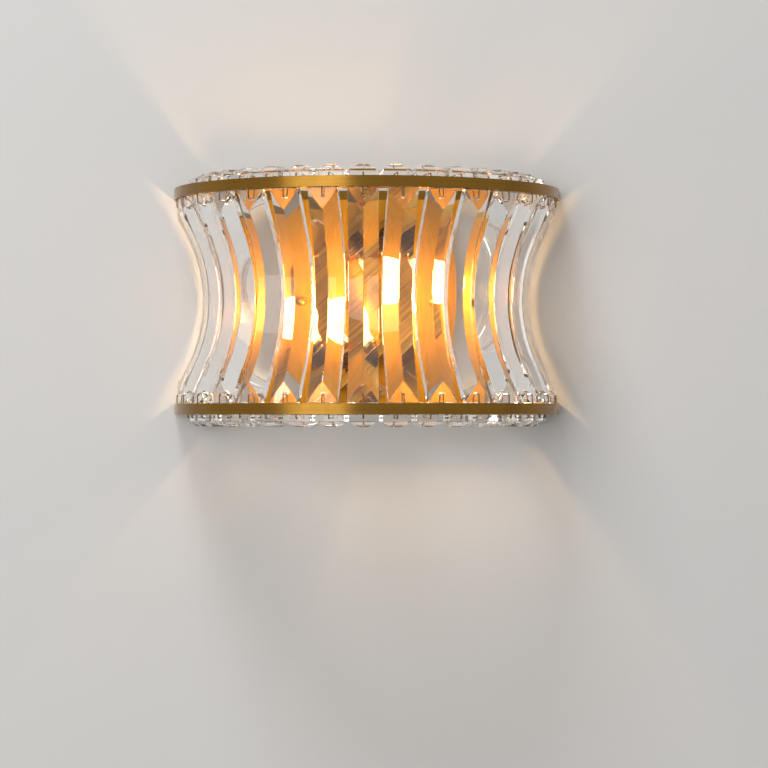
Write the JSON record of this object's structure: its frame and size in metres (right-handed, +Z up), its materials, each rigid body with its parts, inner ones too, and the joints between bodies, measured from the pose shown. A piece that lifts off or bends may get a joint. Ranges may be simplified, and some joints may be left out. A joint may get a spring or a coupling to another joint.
{
  "type": "crystal wall sconce",
  "caption": "Half-round wall light with waisted crystal bars hung between two brushed brass rings, rows of cut crystal tiles on both rings and two small lamps inside.",
  "frame": {"origin": "centre of the wall face, midway between the two rings", "axes": "+Z up, +Y into the wall, +X to the right for someone who faces the light"},
  "size_m": [0.381, 0.1905, 0.2456],
  "materials": {
    "brushed_brass": "brushed along the band, antique",
    "brass_sheet": "brushed",
    "brass_trim": "satin",
    "dark_wire": "dark bronze",
    "crystal": "cut and polished",
    "clear_glass": "clear",
    "glowing_glass": "opal, lit",
    "lamp_cap_metal": "satin",
    "dark_plastic": "ribbed",
    "white_plastic": "smooth",
    "zinc_steel": "zinc plated",
    "black_rubber": "matt",
    "lead_sheath": "matt"
  },
  "bodies": {
    "fixture": {"backplate": "brass_sheet", "bottom_band": "brushed_brass", "bottom_hanger_plate": "brass_sheet", "bottom_hooks": "dark_wire", "bottom_tile_pins": "dark_wire", "bottom_tile_plate": "brass_sheet", "bottom_tiles": "crystal", "bracket_studs": "zinc_steel", "cap_nuts": "brass_trim", "carrier_screws": "brass_trim", "crystal_01": "crystal", "crystal_02": "crystal", "crystal_03": "crystal", "crystal_04": "crystal", "crystal_05": "crystal", "crystal_06": "crystal", "crystal_07": "crystal", "crystal_08": "crystal", "crystal_09": "crystal", "crystal_10": "crystal", "crystal_11": "crystal", "crystal_12": "crystal", "crystal_13": "crystal", "crystal_14": "crystal", "crystal_15": "crystal", "earth_lead": "lead_sheath", "earth_screw": "zinc_steel", "earth_terminal": "brass_trim", "grommets": "black_rubber", "holder_contacts": "brass_trim", "holder_nipples": "zinc_steel", "lamp_carrier": "brass_sheet", "lower_holder_body": "dark_plastic", "lower_holder_sleeve": "brass_trim", "lower_lamp_lead": "lead_sheath", "nipple_nuts": "zinc_steel", "ring_nuts": "zinc_steel", "ring_screws": "brass_trim", "terminal_block": "white_plastic", "terminal_screws": "zinc_steel", "top_band": "brushed_brass", "top_hanger_plate": "brass_sheet", "top_hooks": "dark_wire", "top_tile_pins": "dark_wire", "top_tile_plate": "brass_sheet", "top_tiles": "crystal", "tray_nuts": "zinc_steel", "upper_holder_body": "dark_plastic", "upper_holder_sleeve": "brass_trim", "upper_lamp_lead": "lead_sheath", "wall_bracket": "zinc_steel"},
    "upper_lamp": {"upper_lamp_globe": "clear_glass", "upper_lamp_core": "glowing_glass", "upper_lamp_cap": "lamp_cap_metal", "upper_lamp_contact": "brass_trim"},
    "lower_lamp": {"lower_lamp_globe": "clear_glass", "lower_lamp_core": "glowing_glass", "lower_lamp_cap": "lamp_cap_metal", "lower_lamp_contact": "brass_trim"}
  },
  "joints": [
    {"name": "upper_lamp_unscrew", "type": "slide", "parent": "fixture", "child": "upper_lamp", "axis": [0.6428, 0, -0.766], "range_m": [0, 0.03]},
    {"name": "lower_lamp_unscrew", "type": "slide", "parent": "fixture", "child": "lower_lamp", "axis": [-0.6428, 0, 0.766], "range_m": [0, 0.03]}
  ]
}
